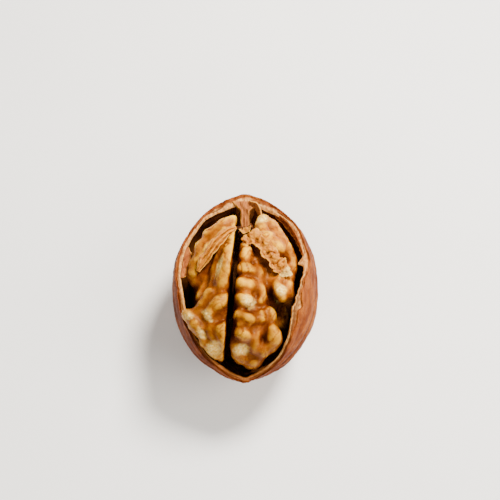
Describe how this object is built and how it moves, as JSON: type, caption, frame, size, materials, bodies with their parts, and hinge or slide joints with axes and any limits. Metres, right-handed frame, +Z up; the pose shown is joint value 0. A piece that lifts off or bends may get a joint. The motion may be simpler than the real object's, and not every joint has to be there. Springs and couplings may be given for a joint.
{
  "type": "walnut kernel",
  "caption": "Walnut kernel lying in its broken-open shell: lobed golden halves parted by a gap, papery membranes, thin woody rim.",
  "frame": {"origin": "on the surface that the nut rests on, under the middle of its footprint", "axes": "+Z up out of the opening, +Y along the nut to its stem end, +X to the right of the opening seen with the tip nearest"},
  "size_m": [0.0379, 0.0507, 0.0333],
  "materials": {
    "shell_wood": "matte woody shell, tan with red-brown furrows",
    "kernel_skin": "waxy amber seed skin",
    "membrane_paper": "dry papery tissue",
    "lining_wood": "dull torn inner lining",
    "shred_dark": "dark dry shred"
  },
  "bodies": {
    "root": {"shell": "shell_wood", "kernel": "kernel_skin", "septum_membrane_right": "membrane_paper", "septum_membrane_left": "membrane_paper", "septum_shred": "shred_dark", "septum_flake": "membrane_paper", "lining_flap_left": "lining_wood", "lining_flap_right": "lining_wood"}
  },
  "joints": []
}
